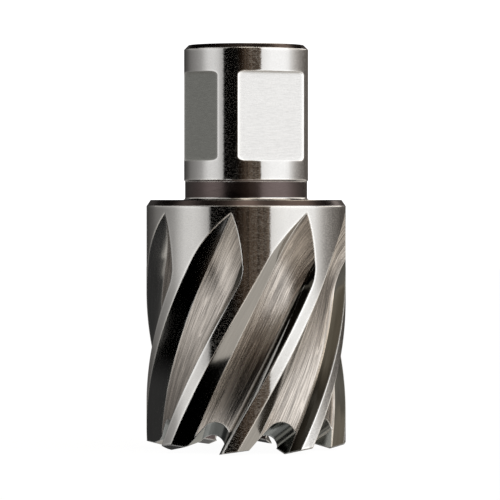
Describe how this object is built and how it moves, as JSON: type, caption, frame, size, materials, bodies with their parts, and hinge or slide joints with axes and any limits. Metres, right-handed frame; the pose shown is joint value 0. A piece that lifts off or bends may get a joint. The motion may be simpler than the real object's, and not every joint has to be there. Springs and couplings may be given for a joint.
{
  "type": "annular cutter",
  "caption": "Solid steel core-drilling cutter: round shank with drive flats, browned neck, cup-shaped body with helical flutes and ground teeth round a slug bore.",
  "frame": {"origin": "on the cutter's axis, at the height of the tooth points", "axes": "+Z along the axis from the teeth to the shank; -Y is the pictured front, with the first drive flat 30 degrees to its right"},
  "size_m": [0.0306, 0.0306, 0.062],
  "materials": {
    "ground_steel": "ground high-speed steel, bright on the lands and the shank, brushed in the flutes, browned on the neck"
  },
  "bodies": {
    "root": {"annular_cutter": "ground_steel"}
  },
  "joints": []
}
